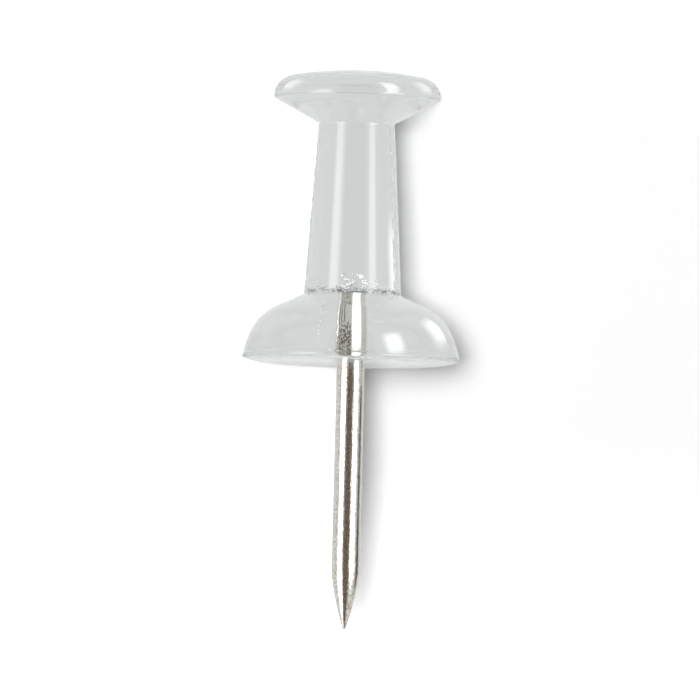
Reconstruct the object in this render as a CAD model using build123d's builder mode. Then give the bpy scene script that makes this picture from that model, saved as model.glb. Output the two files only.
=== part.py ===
from build123d import *
import os

# Push pin: a clear moulded handle on a steel wire pin, in millimetres.
# +Z runs from the point to the head. The origin is the middle of the flat on the collar's underside,
# where the pin leaves the plastic.

# Collar, the domed foot of the handle
collar_diameter = 9.28
collar_height = 3.03
collar_top_slope = 26.0  # degrees below level where the dome leaves the grip
collar_top_reach = 1.5  # how strongly the dome holds that slope
collar_side_lean = 12.0  # degrees off upright where the dome ends at the rim
collar_side_reach = 2.1  # how strongly the dome holds that lean

# Underside of the collar, flat round the pin and turned up towards the rim in a quarter of an oval
underside_flat_diameter = 4.2
underside_rise = 0.31
oval_reach = 0.5523  # share of each half axis that makes a curve an oval

# Grip, a straight taper between the collar and the head
grip_foot_diameter = 4.14
grip_neck_diameter = 3.24
grip_length = 7.3

# Head, a flared disc with a rounded rim and a shallow crown
head_diameter = 7.1
head_flare_height = 1.04
head_land_height = 0.12
head_rim_height = 0.83
head_rim_reach = 0.42  # how far the rim's curve runs on along its two ends
head_crown_diameter = 5.68
head_crown_height = 0.27

# Small round that the mould leaves on the handle's corners above the rim
corner_round = 0.1

# Pin, one length of wire with a ground point
pin_diameter = 1.2
pin_bare_length = 11.22
point_length = 2.4
point_middle_diameter = 0.79
tip_diameter = 0.1

# Root, the end of the wire that is buried in the handle: swaged thinner in a short cone, with a slight taper
root_length = 2.9
root_cone_length = 0.2
root_diameter = 0.84
root_end_diameter = 0.8
root_chamfer = 0.1

os.makedirs("parts", exist_ok=True)

# Heights of the handle's corners above the flat on the collar's underside
flare_foot = collar_height + grip_length
land_foot = flare_foot + head_flare_height
rim_foot = land_foot + head_land_height
crown_foot = rim_foot + head_rim_height
crown_top = crown_foot + head_crown_height

# Half outline of the buried root. The pin and the bore it fills share it, so they meet face to face.
root_end_radius = root_end_diameter / 2
root_outline = [
    (0, root_length),
    (root_end_radius - root_chamfer, root_length),
    (root_end_radius, root_length - root_chamfer),
    (root_diameter / 2, root_cone_length),
    (pin_diameter / 2, 0),
]

# Handle: one moulding, turned about the pin's axis, with a blind bore in its underside
with BuildPart() as handle:
    with BuildSketch(Plane.XZ):
        with BuildLine():
            crown = TangentArc((0, crown_top), (head_crown_diameter / 2, crown_foot), tangent=(1, 0))
            rim_end = Vector(head_diameter / 2, rim_foot)
            Bezier(
                crown @ 1,
                crown @ 1 + (crown % 1) * head_rim_reach,
                rim_end + Vector(0, head_rim_reach),
                rim_end,
            )
            dome_start = Vector(grip_foot_diameter / 2, collar_height)
            Polyline(
                rim_end,
                (head_diameter / 2, land_foot),
                (grip_neck_diameter / 2, flare_foot),
                dome_start,
            )
            rim = Vector(collar_diameter / 2, underside_rise)
            Bezier(
                dome_start,
                dome_start + Vector(collar_top_reach, 0).rotate(Axis.Z, -collar_top_slope),
                rim + Vector(0, collar_side_reach).rotate(Axis.Z, collar_side_lean),
                rim,
            )
            flat_edge = Vector(underside_flat_diameter / 2, 0)
            Bezier(
                rim,
                rim - Vector(0, underside_rise * oval_reach),
                flat_edge + Vector((collar_diameter - underside_flat_diameter) / 2 * oval_reach, 0),
                flat_edge,
            )
            Polyline(flat_edge, (0, 0), (0, crown_top))
        make_face()
    revolve(axis=Axis.Z)
    flat_ring, rim_ring, collar_corner, neck_corner, head_edge = (
        handle.edges().filter_by(GeomType.CIRCLE).sort_by(Axis.Z)[:5]
    )
    fillet([collar_corner, neck_corner, head_edge], corner_round)
    with BuildSketch(Plane.XZ):
        with BuildLine():
            Polyline(*root_outline, (0, 0), close=True)
        make_face()
    revolve(axis=Axis.Z, mode=Mode.SUBTRACT)
handle.part.label = "handle"
export_step(handle.part, "parts/handle.step")

# Steel pin: thin root, straight shank and a point ground to a slight bulge
with BuildPart() as steel_pin:
    with BuildSketch(Plane.XZ):
        with BuildLine():
            point_top = (pin_diameter / 2, point_length - pin_bare_length)
            tip_edge = (tip_diameter / 2, -pin_bare_length)
            Polyline(*root_outline, point_top)
            ThreePointArc(
                point_top,
                (point_middle_diameter / 2, point_length / 2 - pin_bare_length),
                tip_edge,
            )
            Polyline(tip_edge, (0, -pin_bare_length), (0, root_length))
        make_face()
    revolve(axis=Axis.Z)
steel_pin.part.label = "steel_pin"
export_step(steel_pin.part, "parts/steel_pin.step")
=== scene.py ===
"""Clear push pin dressed for its portrait: a moulded handle on a plated wire pin, lying on white paper."""

import logging
import math
import random
from collections.abc import Sequence
from dataclasses import dataclass
from enum import Enum

import bmesh
import bpy
from mathutils import Euler, Matrix, Vector, noise
from mathutils.geometry import interpolate_bezier


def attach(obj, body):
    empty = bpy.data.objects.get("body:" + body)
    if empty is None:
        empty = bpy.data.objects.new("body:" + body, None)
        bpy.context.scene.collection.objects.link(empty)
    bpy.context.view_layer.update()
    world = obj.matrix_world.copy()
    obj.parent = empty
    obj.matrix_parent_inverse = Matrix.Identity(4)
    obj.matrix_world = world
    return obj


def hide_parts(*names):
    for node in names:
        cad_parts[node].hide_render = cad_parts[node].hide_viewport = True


MM = 0.001
WELD = 0.0001 * MM  # vertices closer than this become one
OVAL = 0.5523  # share of each half axis that makes a curve a quarter of an oval
SHARP = math.radians(35)  # corners from this angle on are drawn sharp
WHITE = (1.0, 1.0, 1.0, 1.0)
TOWARDS_CAMERA = (0.0, -1.0, 0.0)
BODY = "root"

Pair = tuple[float, float]
Triple = tuple[float, float, float]
Socket = bpy.types.NodeSocket
Tree = bpy.types.NodeTree

log = logging.getLogger("push_pin")
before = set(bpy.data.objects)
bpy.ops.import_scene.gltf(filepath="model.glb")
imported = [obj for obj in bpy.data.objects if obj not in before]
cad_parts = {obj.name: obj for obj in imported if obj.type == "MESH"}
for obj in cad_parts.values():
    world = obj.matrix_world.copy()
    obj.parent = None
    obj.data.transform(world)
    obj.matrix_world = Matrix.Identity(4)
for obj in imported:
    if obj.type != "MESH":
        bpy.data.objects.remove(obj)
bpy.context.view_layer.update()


class Slot(Enum):
    """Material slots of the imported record."""

    CLEAR_PLASTIC = "clear_plastic"
    PLATED_STEEL = "plated_steel"


class Node(Enum):
    """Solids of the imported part."""

    HANDLE = "handle"
    STEEL_PIN = "steel_pin"


def linear(code: str) -> tuple[float, float, float, float]:
    """Turn an sRGB hex colour into the linear colour that shaders take.

    Args:
        code: Six hex digits, with or without a leading #.

    Returns:
        Linear red, green, blue and an alpha of 1.
    """
    digits = code.lstrip("#")
    shares = [int(digits[i : i + 2], 16) / 255 for i in (0, 2, 4)]
    red, green, blue = (s / 12.92 if s <= 0.04045 else ((s + 0.055) / 1.055) ** 2.4 for s in shares)
    return red, green, blue, 1.0


def round_axis(angle: float, reach: float, height: float) -> Vector:
    """Find a spot round the pin's axis, its angle in radians from the camera's side."""
    return Vector((math.sin(angle) * reach, -math.cos(angle) * reach, height))


def add_node(
    tree: Tree, kind: str, inputs: dict[str | int, object] | None = None, **settings: object
) -> bpy.types.Node:
    """Add a node, set it up and feed its inputs.

    Args:
        tree: Node tree that takes the node.
        kind: Blender's class name of the node.
        inputs: Constants, or output sockets to wire, for its input sockets by name or number.
        settings: Properties of the node.

    Returns:
        The new node.
    """
    node = tree.nodes.new(kind)
    for name, value in settings.items():
        setattr(node, name, value)
    for name, value in (inputs or {}).items():
        if isinstance(value, Socket):
            tree.links.new(value, node.inputs[name])
        else:
            node.inputs[name].default_value = value
    return node


def calculate(
    tree: Tree, operation: str, first: Socket, second: Socket | float = 0.0, clamp: bool = False
) -> Socket:
    """Add a calculation with one or two values.

    Args:
        tree: Node tree that takes the node.
        operation: Blender's name of the calculation.
        first: First value.
        second: Second value, where the calculation takes one.
        clamp: Whether the result stays between 0 and 1.

    Returns:
        Socket with the result.
    """
    node = add_node(tree, "ShaderNodeMath", {0: first, 1: second}, operation=operation, use_clamp=clamp)
    return node.outputs[0]


def ramp(
    tree: Tree,
    value: Socket,
    start: float = 0.0,
    end: float = 1.0,
    low: float = 0.0,
    high: Socket | float = 1.0,
    smooth: bool = False,
) -> Socket:
    """Run a result from one end to the other as a value runs, and hold it beyond both ends.

    Args:
        tree: Node tree that takes the node.
        value: The value.
        start: Value at which the result leaves its first end.
        end: Value at which it reaches its last.
        low: First end of the result.
        high: Last end of the result.
        smooth: Whether it sets off and arrives gently.

    Returns:
        Socket with the result.
    """
    node = add_node(
        tree,
        "ShaderNodeMapRange",
        {"Value": value, "From Min": start, "From Max": end, "To Min": low, "To Max": high},
        interpolation_type="SMOOTHSTEP" if smooth else "LINEAR",
    )
    return node.outputs["Result"]


def lumps(tree: Tree, place: Socket, size_mm: float, detail: float, roughness: float = 0.5) -> Socket:
    """Add a cloudy pattern.

    Args:
        tree: Node tree that takes the node.
        place: Coordinates that it lies on.
        size_mm: Size of its lumps.
        detail: Number of finer layers on top.
        roughness: How strong each finer layer is beside the one before.

    Returns:
        Socket with the pattern.
    """
    scale = 1 / (size_mm * MM)
    inputs = {"Vector": place, "Scale": scale, "Detail": detail, "Roughness": roughness}
    return add_node(tree, "ShaderNodeTexNoise", inputs).outputs["Fac"]


def stretch(tree: Tree, place: Socket, scale: Triple) -> Socket:
    """Scale coordinates along each axis."""
    return add_node(tree, "ShaderNodeMapping", {"Vector": place, "Scale": scale}).outputs["Vector"]


def blend(tree: Tree, share: Socket, first: object, second: object) -> Socket:
    """Blend two colours, sockets or constants, by the share of the second."""
    # Inputs 6 and 7 of a mix and its output 2 are colours.
    return add_node(tree, "ShaderNodeMix", {0: share, 6: first, 7: second}, data_type="RGBA").outputs[2]


def empty_material(name: str) -> bpy.types.Material:
    """Make a material with an empty node tree.

    Args:
        name: Its name.

    Returns:
        The material.
    """
    material = bpy.data.materials.new(name)
    material.use_nodes = True
    material.node_tree.nodes.clear()
    return material


@dataclass(frozen=True)
class ClearPolystyrene:
    """Clear polystyrene, injection moulded in a polished steel mould.

    It bends light strongly, is almost free of colour, and its polish carries the faint waviness that
    the plastic takes on as it shrinks off the mould. Its colour is darker in ragged specks along the flash at
    the grip's foot.
    """

    flash_dark_height_mm: float
    # Colour of the darker specks in the plastic along the flash at the grip's foot.
    flash_dark: str = "#54575B"
    flash_dark_mm: float = 0.2
    flash_dark_stretch: Triple = (0.5, 0.5, 2.0)
    flash_dark_cover: Pair = (0.45, 0.58)  # levels of its pattern where it sets in and is full
    flash_dark_band_mm: Pair = (0.05, 0.13)  # distances from its height where it fades and ends
    body: str = "#E9EDEC"
    shade: str = "#70747A"
    ior: float = 1.59
    roughness: float = 0.015
    wave_mm: float = 2.4
    wave_depth_mm: float = 0.0015
    ripple_mm: float = 0.14
    ripple_stretch: Triple = (0.12, 0.12, 1.0)
    ripple_share: float = 0.25

    def build(self) -> bpy.types.Material:
        """Make the node material.

        Returns:
            Glass-like material with a wavy polish that throws a light shadow.
        """
        material = empty_material("clear_polystyrene_moulded")
        tree = material.node_tree
        place = add_node(tree, "ShaderNodeTexCoord").outputs["Object"]
        waves = lumps(tree, place, self.wave_mm, detail=2.0, roughness=0.4)
        # Ripples that the mould's tool marks leave round the axis, drawn coarser than they are.
        ripples = lumps(tree, stretch(tree, place, self.ripple_stretch), self.ripple_mm, detail=1.0)
        relief = add_node(
            tree, "ShaderNodeMath", {0: ripples, 1: self.ripple_share, 2: waves}, operation="MULTIPLY_ADD"
        )
        bump = add_node(
            tree,
            "ShaderNodeBump",
            {"Height": relief.outputs[0], "Strength": 1.0, "Distance": self.wave_depth_mm * MM},
        )
        plastic = add_node(
            tree,
            "ShaderNodeBsdfPrincipled",
            {
                "Base Color": self.tone(tree, place),
                "Roughness": self.roughness,
                "IOR": self.ior,
                "Transmission Weight": 1.0,
                "Normal": bump.outputs["Normal"],
            },
        )
        # Lamps reach through clear plastic, so rays towards them are dimmed instead of stopped.
        to_lamp = add_node(tree, "ShaderNodeLightPath").outputs["Is Shadow Ray"]
        dimmed = add_node(tree, "ShaderNodeBsdfTransparent", {"Color": linear(self.shade)})
        surface = add_node(
            tree, "ShaderNodeMixShader", {0: to_lamp, 1: plastic.outputs[0], 2: dimmed.outputs[0]}
        )
        add_node(tree, "ShaderNodeOutputMaterial", {"Surface": surface.outputs[0]})
        return material

    def tone(self, tree: Tree, place: Socket) -> Socket:
        """Colour the plastic, darkened in specks along the flash.

        Args:
            tree: Node tree that takes the nodes.
            place: Coordinates on the handle.

        Returns:
            Socket with the colour.
        """
        height = add_node(tree, "ShaderNodeSeparateXYZ", {0: place}).outputs["Z"]
        off = calculate(tree, "ABSOLUTE", calculate(tree, "SUBTRACT", height, self.flash_dark_height_mm * MM))
        fades, ends = self.flash_dark_band_mm
        near = ramp(tree, off, fades * MM, ends * MM, 1.0, 0.0)
        specks = lumps(tree, stretch(tree, place, self.flash_dark_stretch), self.flash_dark_mm, detail=3.0, roughness=0.7)
        # The plastic takes the darker colour in ragged specks close to the flash ring.
        share = calculate(tree, "MULTIPLY", near, ramp(tree, specks, *self.flash_dark_cover))
        return blend(tree, share, linear(self.body), linear(self.flash_dark))


@dataclass(frozen=True)
class PlatedWire:
    """Nickel-plated steel wire, drawn through a die and tumbled bright.

    It mirrors the room in bands along its length, broken up by fine die lines and by the grain of
    the plating. A span of levels says where in a pattern a change sets in and where it is full.
    """

    nickel: str = "#E6E4DE"
    worn: str = "#C2BCB2"
    wear_levels: Pair = (0.42, 0.58)
    root_wear: float = 0.2
    root_mm: Pair = (-0.1, 0.2)  # heights between which the bare wire gives way to the root
    # Brown of the painted dark reflection on one side of the buried root, in place of the dark surroundings
    # it mirrors.
    dark_reflection: str = "#857868"
    dark_reflection_mm: float = 0.05
    dark_reflection_levels: Pair = (0.46, 0.56)
    dark_reflection_side_mm: Pair = (0.06, -0.06)
    roughness: Pair = (0.06, 0.14)
    roughness_levels: Pair = (0.3, 0.7)
    grain_mm: float = 0.1
    die_line_mm: float = 0.05
    die_line_stretch: Triple = (1.0, 1.0, 0.04)
    relief_mm: float = 0.006

    def build(self) -> bpy.types.Material:
        """Make the node material.

        Returns:
            Metal with die lines and a plating grain in its colour, roughness and relief.
        """
        material = empty_material("nickel_plated_wire_drawn")
        tree = material.node_tree
        place = add_node(tree, "ShaderNodeTexCoord").outputs["Object"]
        # Die lines and grain are drawn coarser than they are, so that they show.
        along = stretch(tree, place, self.die_line_stretch)
        lines = lumps(tree, along, self.die_line_mm, detail=3.0, roughness=0.6)
        grain = lumps(tree, place, self.grain_mm, detail=4.0, roughness=0.65)
        relief = calculate(tree, "ADD", lines, grain)
        bump = add_node(
            tree, "ShaderNodeBump", {"Height": relief, "Strength": 1.0, "Distance": self.relief_mm * MM}
        )
        metal = add_node(
            tree,
            "ShaderNodeBsdfPrincipled",
            {
                "Base Color": self.tone(tree, place, grain),
                "Metallic": 1.0,
                "Roughness": ramp(tree, grain, *self.roughness_levels, *self.roughness),
                "Normal": bump.outputs["Normal"],
            },
        )
        add_node(tree, "ShaderNodeOutputMaterial", {"Surface": metal.outputs[0]})
        return material

    def tone(self, tree: Tree, place: Socket, grain: Socket) -> Socket:
        """Colour the plating, worn in specks, with a painted dark reflection in brown spots on one side of
        the buried root.

        Args:
            tree: Node tree that takes the nodes.
            place: Coordinates on the pin.
            grain: Grain of the plating.

        Returns:
            Socket with the colour.
        """
        ways = add_node(tree, "ShaderNodeSeparateXYZ", {0: place}).outputs
        bare_end, root_start = self.root_mm
        root = ramp(tree, ways["Z"], bare_end * MM, root_start * MM)
        # The root was never handled, so it is less worn.
        most_wear = ramp(tree, root, low=1.0, high=self.root_wear)
        wear = ramp(tree, grain, *self.wear_levels, high=most_wear)
        plating = blend(tree, wear, linear(self.nickel), linear(self.worn))
        # Painted dark reflection: the buried root's left side, as the camera sees it, is darkened brown in
        # spots.
        bright_side, dark_side = self.dark_reflection_side_mm
        side = ramp(tree, ways["X"], bright_side * MM, dark_side * MM)
        spots = ramp(tree, lumps(tree, place, self.dark_reflection_mm, detail=1.0), *self.dark_reflection_levels)
        dark_reflection_share = calculate(tree, "MULTIPLY", spots, calculate(tree, "MULTIPLY", side, root))
        return blend(tree, dark_reflection_share, plating, linear(self.dark_reflection))


class Outline:
    """Half section of a turned piece, drawn in millimetres as a chain of edges from axis to axis."""

    def __init__(self, radius: float, height: float) -> None:
        """Start the chain at a point."""
        self.bm = bmesh.new()
        self.last = self.bm.verts.new((radius * MM, 0, height * MM))

    def line(self, radius: float, height: float) -> bmesh.types.BMVert:
        """Draw a straight edge to a point.

        Args:
            radius: Distance of the point from the axis.
            height: Its height.

        Returns:
            The vertex at its end.
        """
        end = self.bm.verts.new((radius * MM, 0, height * MM))
        self.bm.edges.new((self.last, end))
        self.last = end
        return end

    def curve(
        self,
        leave: Pair,
        arrive: Pair,
        end: Pair,
        steps: int,
    ) -> bmesh.types.BMVert:
        """Draw a cubic curve.

        Args:
            leave: Control point that the curve leaves towards.
            arrive: Control point that it arrives from.
            end: Where it ends.
            steps: Number of edges.

        Returns:
            The vertex at its end.
        """
        knots = [Vector((r * MM, 0, z * MM)) for r, z in (leave, arrive, end)]
        for point in interpolate_bezier(self.last.co.copy(), *knots, steps + 1)[1:]:
            self.line(point.x / MM, point.z / MM)
        return self.last

    def round(self, corners: Sequence[bmesh.types.BMVert], width: float, segments: int) -> None:
        """Round corners of the chain.

        Args:
            corners: Vertices to round.
            width: How far the round starts from each corner.
            segments: Number of edges in each round.
        """
        bmesh.ops.bevel(
            self.bm,
            geom=list(corners),
            offset=width * MM,
            offset_type="OFFSET",
            segments=segments,
            profile=0.5,
            affect="VERTICES",
            material=-1,
        )

    def turn(self, step: float, turns: int) -> bmesh.types.BMesh:
        """Spin the chain about the axis into a closed skin.

        Args:
            step: Longest edge that is left along the chain.
            turns: Number of steps in the spin.

        Returns:
            The skin.
        """
        for edge in list(self.bm.edges):
            cuts = math.ceil(edge.calc_length() / (step * MM)) - 1
            if cuts > 0:
                bmesh.ops.subdivide_edges(self.bm, edges=[edge], cuts=cuts)
        bmesh.ops.spin(
            self.bm,
            geom=self.bm.verts[:] + self.bm.edges[:],
            cent=(0, 0, 0),
            axis=(0, 0, 1),
            angle=math.tau,
            steps=turns,
            use_merge=True,
        )
        bmesh.ops.remove_doubles(self.bm, verts=self.bm.verts[:], dist=WELD)
        bmesh.ops.recalc_face_normals(self.bm, faces=self.bm.faces[:])
        return self.bm


def make_piece(name: str, bm: bmesh.types.BMesh) -> bpy.types.Object:
    """Make a piece of a skin, smooth but for its sharp corners.

    Args:
        name: Name of the piece.
        bm: The skin, which is used up.

    Returns:
        The piece, at the origin.
    """
    for face in bm.faces:
        face.smooth = True
    for edge in bm.edges:
        edge.smooth = edge.calc_face_angle(0.0) < SHARP
    mesh = bpy.data.meshes.new(name)
    bm.to_mesh(mesh)
    bm.free()
    piece = bpy.data.objects.new(name, mesh)
    bpy.context.scene.collection.objects.link(piece)
    return piece


def seat(piece: bpy.types.Object, node: Node, material: bpy.types.Material) -> None:
    """Dress a piece and put it in the frame in place of its solid.

    Args:
        piece: The piece.
        node: Solid that it stands for.
        material: Its finish.
    """
    piece.data.materials.append(material)
    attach(piece, BODY)
    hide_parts(node.value)
    log.info("%s: %d faces in %s", piece.name, len(piece.data.polygons), material.name)


@dataclass
class SteelPin:
    """Wire pin with a ground point, its upper end buried in the handle. Sizes in millimetres."""

    diameter: float = 1.2
    bare_length: float = 11.22
    point_length: float = 2.4
    point_swell: float = 0.09
    point_swell_rise: float = 0.2  # share of the swell by which it also leans up the pin
    point_steps: int = 24
    tip_diameter: float = 0.1
    tip_round: float = 0.3  # share of the tip's diameter
    tip_round_steps: int = 3
    root_length: float = 2.9
    root_cone_length: float = 0.2
    root_diameter: float = 0.84
    root_end_diameter: float = 0.8
    root_chamfer: float = 0.1
    longest_edge: float = 0.25
    turns: int = 96

    def build(self) -> bpy.types.Object:
        """Turn the pin.

        Returns:
            The pin, still undressed.
        """
        radius = self.diameter / 2
        root_radius = self.root_end_diameter / 2
        point_top = self.point_length - self.bare_length
        outline = Outline(0, self.root_length)
        outline.line(root_radius - self.root_chamfer, self.root_length)
        outline.line(root_radius, self.root_length - self.root_chamfer)
        outline.line(self.root_diameter / 2, self.root_cone_length)
        outline.line(radius, 0)
        outline.line(radius, point_top)
        tip = Vector((self.tip_diameter / 2, -self.bare_length))
        start = Vector((radius, point_top))
        swell = Vector((self.point_swell, self.point_swell * self.point_swell_rise))
        leave = start.lerp(tip, 1 / 3) + swell
        arrive = start.lerp(tip, 2 / 3) + swell
        edge = outline.curve(tuple(leave), tuple(arrive), tuple(tip), self.point_steps)
        outline.line(0, -self.bare_length)
        outline.round([edge], self.tip_diameter * self.tip_round, self.tip_round_steps)
        return make_piece("steel_pin_wire", outline.turn(self.longest_edge, self.turns))

    def dress(self, piece: bpy.types.Object) -> None:
        """Give the pin its plating and its place."""
        seat(piece, Node.STEEL_PIN, PlatedWire().build())


@dataclass
class Flaws:
    """Small empty bubbles and cracks in the plastic, drawn by lot. Sizes in millimetres, angles in degrees.

    A pair gives the least and the most of a draw. A shape gives a flaw's three sizes as shares of its
    longest, and its sizes are halves.
    """

    bm: bmesh.types.BMesh  # the handle's skin
    dice: random.Random  # source of the lots
    ring_reach: float  # radius of the skin at the ring
    ring_height: float
    ring_count: int = 110
    ring_angles: Pair = (-100.0, 100.0)
    ring_depths: Pair = (0.06, 0.2)
    ring_scatter: float = 0.03
    ring_tilts: Pair = (0.5, 0.12)  # usual tilt along the ring and across it, in radians
    ring_lengths: Pair = (0.06, 0.2)
    ring_widths: Pair = (0.02, 0.04)
    ring_thicknesses: Pair = (0.02, 0.048)
    bubble_count: int = 34
    bubble_foot: float = 0.3
    bubble_pitch: float = 0.05
    bubble_scatter: Pair = (-0.02, 0.02)
    bubble_reach: float = 0.9
    bubble_angles: Pair = (-95.0, -80.0)
    bubble_bend_foot: float = 1.4  # height from which the row of bubbles bends in towards the pin
    bubble_bend_height: float = 0.7
    bubble_bend: float = 0.45
    bubble_shape: Triple = (1.0, 0.8, 0.6)
    bubble_sizes: Pair = (0.018, 0.036)
    crack_shape: Triple = (1.0, 0.7, 0.35)
    end_count: int = 65
    end_sides: Pair = (-0.3, 0.8)
    end_depths: Pair = (-0.45, 0.3)
    end_foot: float = 3.2
    end_thickest: float = 3.3
    end_top: float = 3.95
    end_fall: float = 0.5  # how steeply the top of the patch falls to the right
    end_sizes: Pair = (0.04, 0.1)
    cap_count: int = 40
    cap_sides: Pair = (0.05, 0.6)
    cap_depths: Pair = (-0.4, 0.4)
    cap_heights: Pair = (2.98, 3.2)
    cap_sizes: Pair = (0.03, 0.07)
    mouth_count: int = 16
    mouth_angles: Pair = (-60.0, 75.0)
    mouth_reaches: Pair = (0.66, 0.85)
    mouth_heights: Pair = (0.06, 0.3)
    mouth_shape: Triple = (1.0, 0.7, 0.4)
    mouth_sizes: Pair = (0.025, 0.05)

    def build(self) -> None:
        """Set all flaws into the skin, in a fixed order because they share one run of lots."""
        self.add_bubbles()
        self.add_end_cracks()
        self.add_mouth_cracks()
        self.add_ring_cracks()

    def add_bubbles(self) -> None:
        """Set a row of bubbles left of the pin."""
        for step in range(self.bubble_count):
            height = self.bubble_foot + step * self.bubble_pitch + self.dice.uniform(*self.bubble_scatter)
            bend = max(0.0, (height - self.bubble_bend_foot) / self.bubble_bend_height)
            reach = self.bubble_reach * math.sqrt(1 - self.bubble_bend * bend * bend)
            angle = math.radians(self.dice.uniform(*self.bubble_angles))
            self.add_tumbled(round_axis(angle, reach, height), self.bubble_shape, self.bubble_sizes)

    def add_end_cracks(self) -> None:
        """Crowd cracks over the pin's buried end, where the plastic shrank away from it."""
        for _ in range(self.end_count):
            side = self.dice.uniform(*self.end_sides)
            depth = self.dice.uniform(*self.end_depths)
            top = self.end_top - self.end_fall * max(0.0, side)
            spot = Vector((side, depth, self.dice.triangular(self.end_foot, top, self.end_thickest)))
            self.add_tumbled(spot, self.crack_shape, self.end_sizes)
        for _ in range(self.cap_count):
            spans = (self.cap_sides, self.cap_depths, self.cap_heights)
            spot = Vector([self.dice.uniform(*span) for span in spans])
            self.add_tumbled(spot, self.crack_shape, self.cap_sizes)

    def add_mouth_cracks(self) -> None:
        """Set a few cracks round the place where the pin leaves the plastic."""
        for _ in range(self.mouth_count):
            angle = math.radians(self.dice.uniform(*self.mouth_angles))
            reach = self.dice.uniform(*self.mouth_reaches)
            spot = round_axis(angle, reach, self.dice.uniform(*self.mouth_heights))
            self.add_tumbled(spot, self.mouth_shape, self.mouth_sizes)

    def add_ring_cracks(self) -> None:
        """Lay cracks along the front of the flash ring, just under the skin."""
        for _ in range(self.ring_count):
            angle = math.radians(self.dice.uniform(*self.ring_angles))
            height = self.ring_height + self.dice.gauss(0, self.ring_scatter)
            reach = self.ring_reach - self.dice.uniform(*self.ring_depths)
            tilts = [self.dice.gauss(0, tilt) for tilt in self.ring_tilts]
            spans = (self.ring_lengths, self.ring_widths, self.ring_thicknesses)
            size = Vector([self.dice.uniform(*span) for span in spans])
            self.add_flake(round_axis(angle, reach, height), Euler((*tilts, angle)), size)

    def add_tumbled(self, spot: Vector, shape: Triple, sizes: Pair) -> None:
        """Add one flaw that lies any way up.

        Args:
            spot: Its middle.
            shape: Its three sizes as shares of its longest.
            sizes: Least and most of its longest.
        """
        tumble = Euler([self.dice.uniform(0, math.tau) for _ in range(3)])
        self.add_flake(spot, tumble, Vector(shape) * self.dice.uniform(*sizes))

    def add_flake(self, spot: Vector, tumble: Euler, size: Vector) -> None:
        """Add one flattened bubble or crack.

        Args:
            spot: Its middle.
            tumble: How it is turned.
            size: Half its size along its own axes.
        """
        turn = tumble.to_matrix().to_4x4()
        place = Matrix.Translation(spot * MM) @ turn @ Matrix.Diagonal((*size, 1))
        ball = bmesh.ops.create_icosphere(self.bm, subdivisions=1, radius=MM, matrix=place)
        # The plastic's skin faces into the bubble, which is empty.
        faces = {face for vert in ball["verts"] for face in vert.link_faces}
        bmesh.ops.reverse_faces(self.bm, faces=list(faces))


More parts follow.
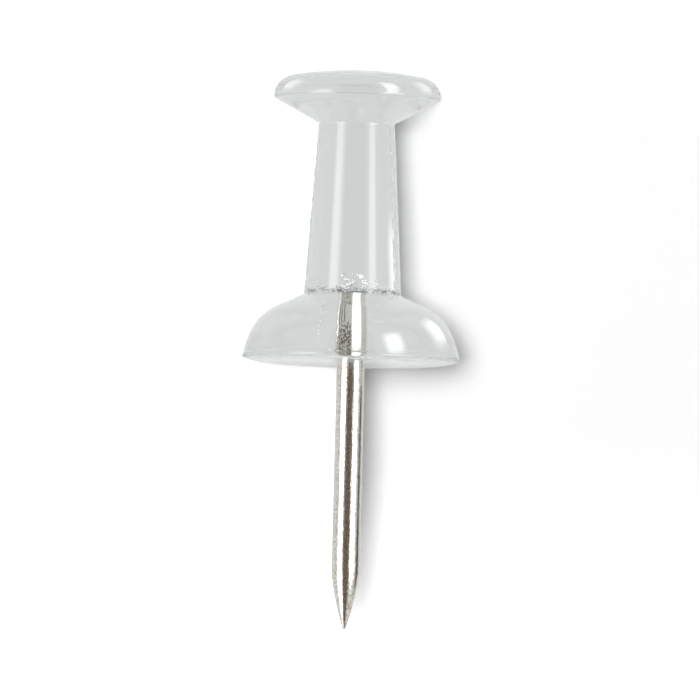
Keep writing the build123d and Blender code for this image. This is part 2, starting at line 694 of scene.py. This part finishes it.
@dataclass
class Handle:
    """Clear moulding: crowned head, tapered grip and domed collar round the pin. Sizes in millimetres."""

    pin: SteelPin
    collar_diameter: float = 9.28
    collar_height: float = 3.03
    collar_top_slope: float = 26.0
    collar_top_reach: float = 1.5
    collar_side_lean: float = 12.0
    collar_side_reach: float = 2.1
    collar_steps: int = 28
    underside_rise: float = 0.31
    underside_flat_diameter: float = 4.2
    underside_steps: int = 24
    grip_foot_diameter: float = 4.14
    grip_neck_diameter: float = 3.24
    grip_length: float = 7.3
    head_diameter: float = 7.1
    head_flare_height: float = 1.04
    head_land_height: float = 0.12
    head_rim_height: float = 0.83
    head_rim_reach: float = 0.42
    head_rim_steps: int = 16
    head_crown_diameter: float = 5.68
    head_crown_height: float = 0.27
    head_crown_steps: int = 24
    corner_round: float = 0.06
    corner_round_steps: int = 5
    bite: float = 0.01  # how far the bore's skin lies inside the pin's
    longest_edge: float = 0.12
    turns: int = 288
    bore_margin: float = 0.1  # what lies this far inside the neck's skin stays smooth
    flash_height: float = 0.42
    flash_rows: int = 14
    flash_band: float = 0.15
    flash_rise: float = 0.08
    flash_depth: float = 0.05
    flash_overlap: float = 0.05  # how far it runs down over the collar
    flash_lumps: Pair = (5.0, 13.0)  # lumps in a millimetre along the ring and up it
    flash_finer: float = 2.3  # how much finer the second layer of lumps is
    flash_finer_share: float = 0.6
    seam_angles: Pair = (-77.0, 61.0)
    seam_width: float = 0.07
    seam_height: float = 0.065
    seam_head_gap: float = 0.15
    seam_mean: float = 0.45
    seam_lumps: Pair = (3.0, 11.0)  # coarse and fine lumps in a millimetre
    seam_fine_share: float = 0.8
    crack_ring_drop: float = 0.05  # how far the ring of cracks lies under the middle of the flash
    seed: int = 7

    def build(self) -> bpy.types.Object:
        """Turn the moulding, work the flash into its skin and set the flaws into it.

        Returns:
            The handle, still undressed.
        """
        outline, corners = self.draw_head()
        self.draw_grip_foot(outline)
        self.draw_collar(outline)
        self.draw_bore(outline)
        outline.round(corners, self.corner_round, self.corner_round_steps)
        bm = outline.turn(self.longest_edge, self.turns)
        self.roughen(bm)
        ring_height = self.collar_height + self.flash_rise - self.crack_ring_drop
        Flaws(bm, random.Random(self.seed), self.grip_foot_diameter / 2, ring_height).build()
        return make_piece("handle_moulding", bm)

    def draw_head(self) -> tuple[Outline, list[bmesh.types.BMVert]]:
        """Start the outline at the crown and draw it down to the neck.

        Returns:
            The outline, and the two corners of it that the mould rounds.
        """
        flare_foot = self.collar_height + self.grip_length
        land_foot = flare_foot + self.head_flare_height
        rim_foot = land_foot + self.head_land_height
        crown_foot = rim_foot + self.head_rim_height
        crown_top = crown_foot + self.head_crown_height
        crown_edge = self.head_crown_diameter / 2
        head_edge = self.head_diameter / 2
        crown_fall = math.atan2(2 * self.head_crown_height, crown_edge)
        outline = Outline(0, crown_top)
        outline.curve(
            (crown_edge / 3, crown_top),
            (
                crown_edge * (1 - math.cos(crown_fall) / 3),
                crown_foot + crown_edge / 3 * math.sin(crown_fall),
            ),
            (crown_edge, crown_foot),
            self.head_crown_steps,
        )
        outline.curve(
            (
                crown_edge + self.head_rim_reach * math.cos(crown_fall),
                crown_foot - self.head_rim_reach * math.sin(crown_fall),
            ),
            (head_edge, rim_foot + self.head_rim_reach),
            (head_edge, rim_foot),
            self.head_rim_steps,
        )
        under_head = outline.line(head_edge, land_foot)
        neck = outline.line(self.grip_neck_diameter / 2, flare_foot)
        return outline, [under_head, neck]

    def draw_grip_foot(self, outline: Outline) -> None:
        """Draw the grip down to the collar, with close rows at its foot for the ragged flash.

        Args:
            outline: The outline so far.
        """
        lean_in = (self.grip_foot_diameter - self.grip_neck_diameter) / 2 / self.grip_length
        for row in range(self.flash_rows, -1, -1):
            rise = self.flash_height * row / self.flash_rows
            outline.line(self.grip_foot_diameter / 2 - lean_in * rise, self.collar_height + rise)

    def draw_collar(self, outline: Outline) -> None:
        """Draw the dome, and the underside that turns down from the rim to a flat.

        Args:
            outline: The outline so far.
        """
        slope = math.radians(self.collar_top_slope)
        lean = math.radians(self.collar_side_lean)
        outline.curve(
            (
                self.grip_foot_diameter / 2 + self.collar_top_reach * math.cos(slope),
                self.collar_height - self.collar_top_reach * math.sin(slope),
            ),
            (
                self.collar_diameter / 2 - self.collar_side_reach * math.sin(lean),
                self.underside_rise + self.collar_side_reach * math.cos(lean),
            ),
            (self.collar_diameter / 2, self.underside_rise),
            self.collar_steps,
        )
        flat_edge = self.underside_flat_diameter / 2
        outline.curve(
            (self.collar_diameter / 2, self.underside_rise * (1 - OVAL)),
            (flat_edge + (self.collar_diameter / 2 - flat_edge) * OVAL, 0),
            (flat_edge, 0),
            self.underside_steps,
        )

    def draw_bore(self, outline: Outline) -> None:
        """Draw the bore a hair inside the pin's skin, because plastic grips metal without a gap.

        Args:
            outline: The outline so far.
        """
        root_end = self.pin.root_end_diameter / 2 - self.bite
        root_top = self.pin.root_length - self.bite
        outline.line(self.pin.diameter / 2 - self.bite, 0)
        outline.line(self.pin.root_diameter / 2 - self.bite, self.pin.root_cone_length)
        outline.line(root_end, root_top - self.pin.root_chamfer)
        outline.line(root_end - self.pin.root_chamfer, root_top)
        outline.line(0, root_top)

    def roughen(self, bm: bmesh.types.BMesh) -> None:
        """Work the flash of the mould into the skin: a ragged ring at the collar and two seams on the grip.

        Args:
            bm: The handle's skin.
        """
        grip_top = self.collar_height + self.grip_length
        around, up = self.flash_lumps
        coarse, fine = self.seam_lumps
        for vert in bm.verts:
            spot = vert.co / MM
            reach = math.hypot(spot.x, spot.y)
            if reach < self.grip_neck_diameter / 2 - self.bore_margin:
                continue
            out = Vector((spot.x / reach, spot.y / reach, 0))
            angle = math.degrees(math.atan2(spot.x, -spot.y))
            nearness = 1 - abs(spot.z - self.collar_height - self.flash_rise) / self.flash_band
            if nearness > 0 and spot.z > self.collar_height - self.flash_overlap:
                along = Vector((spot.x * around, spot.y * around, spot.z * up))
                ragged = noise.noise(along) + noise.noise(along * self.flash_finer) * self.flash_finer_share
                vert.co += out * ragged * math.sqrt(nearness) * self.flash_depth * MM
            elif self.collar_height < spot.z < grip_top - self.seam_head_gap:
                gap = min(abs(angle - seam) for seam in self.seam_angles)
                nearness = 1 - math.radians(gap) * reach / self.seam_width
                if nearness > 0:
                    ragged = self.seam_mean + noise.noise(spot * coarse)
                    ragged += noise.noise(spot * fine) * self.seam_fine_share
                    vert.co += out * max(ragged, 0) * nearness * self.seam_height * MM

    def dress(self, piece: bpy.types.Object) -> None:
        """Give the handle its plastic and its place."""
        plastic = ClearPolystyrene(flash_dark_height_mm=self.collar_height + self.flash_rise)
        seat(piece, Node.HANDLE, plastic.build())


class LampUse(Enum):
    """What a lamp is hung for."""

    LIGHTS = "lights matt surfaces and throws the shadow"
    MIRRORED = "is seen in gloss and in metal"


@dataclass(frozen=True)
class Lamp:
    """Soft lamp aimed at the object's axis. Angles in degrees from the camera's side, lengths in mm.

    The even share is the middle part of each side that is equally bright. The aim is the height on the
    axis that it faces. A spread under 180 narrows its beam, as a honeycomb does.
    """

    name: str
    azimuth: float
    elevation: float
    distance: float
    width: float
    height: float
    brightness: float
    use: LampUse = LampUse.MIRRORED
    even_share: float = 0.2
    aim: float = 0.0
    spread: float = 180.0

    def build(self) -> bpy.types.Object:
        """Hang the lamp.

        Returns:
            An area lamp that the camera itself doesn't see.
        """
        data = bpy.data.lights.new(self.name, "AREA")
        data.shape = "RECTANGLE"
        data.size = self.width * MM
        data.size_y = self.height * MM
        data.spread = math.radians(self.spread)
        data.energy = self.brightness * math.pi * data.size * data.size_y
        self.soften(data)
        lamp = bpy.data.objects.new(self.name, data)
        rise = math.radians(self.elevation)
        way = round_axis(math.radians(self.azimuth), math.cos(rise), math.sin(rise))
        lamp.location = (way * self.distance + Vector((0, 0, self.aim))) * MM
        lamp.rotation_mode = "QUATERNION"
        lamp.rotation_quaternion = (-way).to_track_quat("-Z", "Y")
        lamp.visible_camera = False
        lamp.visible_diffuse = self.use is LampUse.LIGHTS
        lamp.visible_glossy = self.use is LampUse.MIRRORED
        lamp.visible_transmission = False
        bpy.context.scene.collection.objects.link(lamp)
        return lamp

    def soften(self, data: bpy.types.AreaLight) -> None:
        """Let the lamp fade from its middle to its edges, as a softbox does.

        Args:
            data: The lamp.
        """
        data.use_nodes = True
        tree = data.node_tree
        tree.nodes.clear()
        half = 0.5  # the lamp's own coordinates run from 0 to 1 along each side
        place = add_node(tree, "ShaderNodeNewGeometry").outputs["Parametric"]
        ways = add_node(tree, "ShaderNodeSeparateXYZ", {0: place}).outputs
        offs = [calculate(tree, "ABSOLUTE", calculate(tree, "SUBTRACT", ways[axis], half)) for axis in "XY"]
        across, upright = (
            ramp(tree, off, self.even_share * half, half, low=1.0, high=0.0, smooth=True) for off in offs
        )
        strength = calculate(tree, "MULTIPLY", across, upright)
        glow = add_node(tree, "ShaderNodeEmission", {"Strength": strength})
        add_node(tree, "ShaderNodeOutputLight", {"Surface": glow.outputs[0]})


@dataclass(frozen=True)
class Card:
    """Dark card that faces the object and that only reflections show. Angle in degrees, lengths in mm."""

    name: str
    colour: str
    azimuth: float
    distance: float
    height: float
    size: Pair

    def build(self) -> bpy.types.Object:
        """Hang the card.

        Returns:
            The card.
        """
        bm = bmesh.new()
        bmesh.ops.create_grid(bm, x_segments=1, y_segments=1, size=0.5)
        place = (
            Matrix.Rotation(math.radians(self.azimuth), 4, "Z")
            @ Matrix.Translation((0, -self.distance * MM, self.height * MM))
            @ Matrix.Rotation(math.radians(-90), 4, "X")
            @ Matrix.Diagonal((self.size[0] * MM, self.size[1] * MM, 1, 1))
        )
        bmesh.ops.transform(bm, verts=bm.verts[:], matrix=place)
        mesh = bpy.data.meshes.new(self.name)
        bm.to_mesh(mesh)
        bm.free()
        material = empty_material(self.name)
        tone = add_node(material.node_tree, "ShaderNodeEmission", {"Color": linear(self.colour)})
        add_node(material.node_tree, "ShaderNodeOutputMaterial", {"Surface": tone.outputs[0]})
        mesh.materials.append(material)
        card = bpy.data.objects.new(self.name, mesh)
        card.visible_camera = False
        card.visible_diffuse = False
        card.visible_transmission = False
        card.visible_shadow = False
        bpy.context.scene.collection.objects.link(card)
        return card


@dataclass
class Studio:
    """White paper that the pin lies on, soft lamps, and the camera. Lengths in mm, angles in degrees.

    Brightness is a share of white. Spans of the burn run from where it sets in to where it is full, in
    the frame's own directions.
    """

    collar_rim: Pair = (4.65, 0.31)  # reach and height of the rim that touches the paper
    head_rim: Pair = (3.56, 11.45)
    paper_side: float = 600.0
    paper: str = "#F4F4F4"
    paper_glow: float = 0.055  # what the camera sees on top of the light that falls on the paper
    paper_burn: float = 0.5  # the same where the paper is overexposed
    burn_left: Pair = (0.5, -0.5)
    burn_top: Pair = (10.3, 11.5)
    burn_foot: Pair = (-3.0, -12.5)
    paper_seen: float = 0.79
    paper_plainness: float = 0.4  # share of plain paper, without the shadow, in reflections
    room_seen: float = 0.79
    room_light: float = 0.06
    lens_side: str = "#8A7D74"  # tone of the dark gap behind the camera
    lens_spread: Pair = (26.0, 31.0)  # angles to each side where the gap is full and where it ends
    lens_rise: Pair = (14.0, 9.0)  # angles up and down where it ends and where it is full
    lens_reach: float = 0.28  # what heights count for the bare wire, which so sees a taller gap
    skin_crossings: float = 3.5  # a way that crosses more surfaces than this has met a flaw
    flaw_glare: float = 1.7
    bounces: int = 128
    elevation: float = -2.4
    roll: float = 1.45
    image_side: float = 700.0
    origin_pixel: Pair = (350.7, 365.8)
    pixels_per_mm: float = 23.5
    lens: float = 600.0
    sensor: float = 36.0
    clip: Pair = (1.0, 10000.0)
    cards: tuple[Card, ...] = (
        Card("side_card", "#5E5E5B", 104.0, 12.0, -6.2, (5.8, 11.6)),
    )
    # The low boxes leave the dark gap between them, which the bare wire mirrors as a streak. The head's
    # lamps hang close to it, and the root's two strips of light stand inside the plastic beside the pin.
    lamps: tuple[Lamp, ...] = (
        Lamp("left_softbox", -48.0, 10.0, 200.0, 125.0, 48.0, 3.5),
        Lamp("right_softbox", 48.0, 10.0, 200.0, 105.0, 48.0, 3.5),
        Lamp("left_low_box", -53.0, -13.0, 200.0, 142.0, 153.0, 3.0, even_share=0.75),
        Lamp("right_low_box", 50.0, -5.0, 200.0, 136.0, 92.0, 3.0, even_share=0.75),
        Lamp("right_window", 52.0, 33.0, 200.0, 100.0, 95.0, 8.0),
        Lamp("right_close_box", 103.0, 30.0, 10.5, 7.0, 6.0, 3.5),
        Lamp("head_window_low", 45.0, 11.0, 14.0, 5.5, 4.6, 0.55, even_share=0.5, aim=11.9, spread=60.0),
        Lamp("head_window_high", 45.0, 39.0, 14.0, 5.5, 6.0, 0.55, even_share=0.5, aim=11.9, spread=60.0),
        Lamp("head_left_fill", -110.0, 23.0, 9.4, 12.0, 9.0, 0.45, aim=11.8, spread=70.0),
        Lamp("head_right_fill", 110.0, 23.0, 9.4, 12.0, 9.0, 0.45, aim=11.8, spread=70.0),
        Lamp("root_glint", 27.0, 0.0, 0.5, 0.6, 2.5, 1.2, even_share=0.5, aim=1.25, spread=130.0),
        Lamp("root_edge", -97.0, 0.0, 0.5, 0.5, 2.5, 0.9, even_share=0.4, aim=1.25, spread=130.0),
        Lamp("shadow_key", -4.5, 0.5, 400.0, 190.0, 190.0, 41.0, LampUse.LIGHTS),
    )

    def build_paper(self) -> bpy.types.Object:
        """Lay the paper against the rims of the collar and the head.

        Returns:
            The paper.
        """
        bm = bmesh.new()
        bmesh.ops.create_grid(bm, x_segments=2, y_segments=2, size=self.paper_side / 2 * MM)
        rise = Vector((0, self.head_rim[0] - self.collar_rim[0], self.head_rim[1] - self.collar_rim[1]))
        along = rise.normalized()
        across = Vector((1, 0, 0))
        facing = across.cross(along)
        turn = Matrix((across, along, facing)).transposed()
        bmesh.ops.rotate(bm, verts=bm.verts[:], cent=(0, 0, 0), matrix=turn)
        bmesh.ops.translate(bm, verts=bm.verts[:], vec=(0, self.collar_rim[0] * MM, self.collar_rim[1] * MM))
        mesh = bpy.data.meshes.new("paper")
        bm.to_mesh(mesh)
        bm.free()
        mesh.materials.append(self.paper_finish())
        sheet = bpy.data.objects.new("paper", mesh)
        bpy.context.scene.collection.objects.link(sheet)
        return sheet

    def strength_by_ray(self, tree: Tree, seen: float, light: float, camera: bool) -> Socket:
        """Choose a strength by whether light is looked at or lights a matt surface, also through plastic.

        Args:
            tree: Node tree that takes the nodes.
            seen: Strength that reflections and clear plastic see.
            light: Strength otherwise.
            camera: Whether the camera sees the first strength too.

        Returns:
            Socket with the strength.
        """
        path = add_node(tree, "ShaderNodeLightPath").outputs
        looked_at = calculate(tree, "ADD", path["Is Glossy Ray"], path["Is Transmission Ray"], clamp=True)
        if camera:
            looked_at = calculate(tree, "ADD", looked_at, path["Is Camera Ray"], clamp=True)
        first_hand = calculate(tree, "SUBTRACT", looked_at, path["Diffuse Depth"], clamp=True)
        return ramp(tree, first_hand, low=light, high=seen)

    def with_glare(self, tree: Tree, strength: Socket | float) -> Socket:
        """Brighten what is seen by way of a bubble or a crack, which gathers light from all round.

        Args:
            tree: Node tree that takes the nodes.
            strength: Strength without glare.

        Returns:
            Socket with the strength.
        """
        # A way through a flaw crosses four surfaces, one through the handle's skin alone two. Ways that
        # are turned round inside the plastic are left out.
        path = add_node(tree, "ShaderNodeLightPath").outputs
        crossed = calculate(tree, "GREATER_THAN", path["Transmission Depth"], self.skin_crossings)
        flawed = calculate(tree, "SUBTRACT", crossed, path["Glossy Depth"], clamp=True)
        gain = ramp(tree, flawed, low=1.0, high=1 + self.flaw_glare)
        return calculate(tree, "MULTIPLY", gain, strength)

    def burnt_share(self, tree: Tree) -> Socket:
        """Overexpose the paper left of the pin, above it and towards its point.

        The shadow then shows on the right alone, and fades towards the point.

        Args:
            tree: Node tree that takes the nodes.

        Returns:
            Socket with the share of the burn.
        """
        place = add_node(tree, "ShaderNodeTexCoord").outputs["Object"]
        ways = add_node(tree, "ShaderNodeSeparateXYZ", {0: place}).outputs
        left, top, foot = (
            ramp(tree, ways[axis], start * MM, end * MM, smooth=True)
            for axis, (start, end) in (("X", self.burn_left), ("Z", self.burn_top), ("Z", self.burn_foot))
        )
        return calculate(tree, "MAXIMUM", left, calculate(tree, "MAXIMUM", top, foot))

    def paper_finish(self) -> bpy.types.Material:
        """Make the paper: matt white, topped up to white where it is looked at, and open from behind.

        Returns:
            The paper's material.
        """
        material = empty_material("matt_white_paper")
        tree = material.node_tree
        path = add_node(tree, "ShaderNodeLightPath").outputs
        matt = add_node(tree, "ShaderNodeBsdfDiffuse", {"Color": linear(self.paper)})
        burn = ramp(tree, self.burnt_share(tree), low=self.paper_glow, high=self.paper_burn)
        top_up = calculate(tree, "MULTIPLY", burn, path["Is Camera Ray"])
        glow = add_node(tree, "ShaderNodeEmission", {"Strength": top_up})
        direct = add_node(tree, "ShaderNodeAddShader", {0: matt.outputs[0], 1: glow.outputs[0]})
        # Clear plastic shows plain white paper, and reflections show some of the shadow that lies on it.
        plain = add_node(tree, "ShaderNodeEmission", {"Strength": self.with_glare(tree, self.paper_seen)})
        mirrored = self.strength_by_ray(tree, self.paper_plainness, 0.0, camera=False)
        share = calculate(tree, "MAXIMUM", mirrored, path["Is Transmission Ray"])
        lit = add_node(tree, "ShaderNodeMixShader", {0: share, 1: direct.outputs[0], 2: plain.outputs[0]})
        behind = add_node(tree, "ShaderNodeNewGeometry").outputs["Backfacing"]
        open_side = add_node(tree, "ShaderNodeBsdfTransparent")
        surface = add_node(
            tree, "ShaderNodeMixShader", {0: behind, 1: lit.outputs[0], 2: open_side.outputs[0]}
        )
        add_node(tree, "ShaderNodeOutputMaterial", {"Surface": surface.outputs[0]})
        return material

    def dark_gap(self, tree: Tree) -> Socket:
        """Leave the room dark behind the camera, which the bright wire mirrors as a streak.

        Args:
            tree: Node tree that takes the nodes.

        Returns:
            Socket with the share of the dark.
        """
        path = add_node(tree, "ShaderNodeLightPath").outputs
        place = add_node(tree, "ShaderNodeTexCoord").outputs["Generated"]
        level = add_node(tree, "ShaderNodeVectorMath", {0: place, 1: (1.0, 1.0, 0.0)}, operation="MULTIPLY")
        heading = add_node(tree, "ShaderNodeVectorMath", {0: level.outputs[0]}, operation="NORMALIZE")
        facing = add_node(
            tree, "ShaderNodeVectorMath", {0: heading.outputs[0], 1: TOWARDS_CAMERA}, operation="DOT_PRODUCT"
        )
        full, end = (math.cos(math.radians(angle)) for angle in self.lens_spread)
        width = ramp(tree, facing.outputs["Value"], end, full, smooth=True)
        # The gap is low for rays that come out of the plastic, and tall for those off the bare wire. A
        # camera that looks that way doesn't see it.
        height = add_node(tree, "ShaderNodeSeparateXYZ", {0: place}).outputs["Z"]
        reach = ramp(tree, path["Transmission Depth"], low=self.lens_reach, high=1.0)
        rise = calculate(tree, "ABSOLUTE", calculate(tree, "MULTIPLY", height, reach))
        outside, inside = (math.sin(math.radians(angle)) for angle in self.lens_rise)
        band = ramp(tree, rise, outside, inside, smooth=True)
        unseen = calculate(tree, "SUBTRACT", band, path["Is Camera Ray"], clamp=True)
        return calculate(tree, "MULTIPLY", width, unseen)

    def light(self) -> None:
        """Light the room, white but for the dark gap, and hang the lamps."""
        world = bpy.data.worlds.new("room")
        bpy.context.scene.world = world
        world.use_nodes = True
        tree = world.node_tree
        tree.nodes.clear()
        strength = self.strength_by_ray(tree, self.room_seen, self.room_light, camera=True)
        colour = blend(tree, self.dark_gap(tree), WHITE, linear(self.lens_side))
        room = add_node(
            tree, "ShaderNodeBackground", {"Color": colour, "Strength": self.with_glare(tree, strength)}
        )
        add_node(tree, "ShaderNodeOutputWorld", {"Surface": room.outputs[0]})
        for lamp in self.lamps:
            lamp.build()

    def build_camera(self) -> bpy.types.Object:
        """Put the camera where the photograph was taken from.

        Returns:
            The scene's camera.
        """
        tilt = math.radians(self.elevation)
        roll = math.radians(self.roll)
        back = Vector((0, -math.cos(tilt), math.sin(tilt)))
        level_up = Vector((0, math.sin(tilt), math.cos(tilt)))
        level_right = Vector((1, 0, 0))
        up = level_up * math.cos(roll) - level_right * math.sin(roll)
        right = level_right * math.cos(roll) + level_up * math.sin(roll)
        middle = self.image_side / 2
        aim = right * (middle - self.origin_pixel[0]) + up * (self.origin_pixel[1] - middle)
        field = self.image_side / self.pixels_per_mm
        data = bpy.data.cameras.new("camera")
        data.lens = self.lens
        data.sensor_width = self.sensor
        data.sensor_fit = "HORIZONTAL"
        data.clip_start = self.clip[0] * MM
        data.clip_end = self.clip[1] * MM
        camera = bpy.data.objects.new("camera", data)
        spot = aim / self.pixels_per_mm * MM + back * field * self.lens / self.sensor * MM
        turn = Matrix((right, up, back)).transposed().to_4x4()
        camera.matrix_world = Matrix.Translation(spot) @ turn
        bpy.context.scene.collection.objects.link(camera)
        bpy.context.scene.camera = camera
        return camera

    def build(self) -> None:
        """Set the whole studio up."""
        self.build_paper()
        for card in self.cards:
            card.build()
        self.light()
        self.build_camera()
        scene = bpy.context.scene
        scene.view_settings.view_transform = "Standard"
        # Light is turned round inside the clear plastic many times, and would end black on the usual count.
        scene.cycles.max_bounces = self.bounces
        scene.cycles.glossy_bounces = self.bounces
        scene.cycles.transmission_bounces = self.bounces


def main() -> None:
    """Build the pin, the handle and the studio, in that order."""
    logging.basicConfig(level=logging.INFO)
    pin = SteelPin()
    pin.dress(pin.build())
    handle = Handle(pin)
    handle.dress(handle.build())
    Studio().build()


if __name__ == "__main__":
    main()
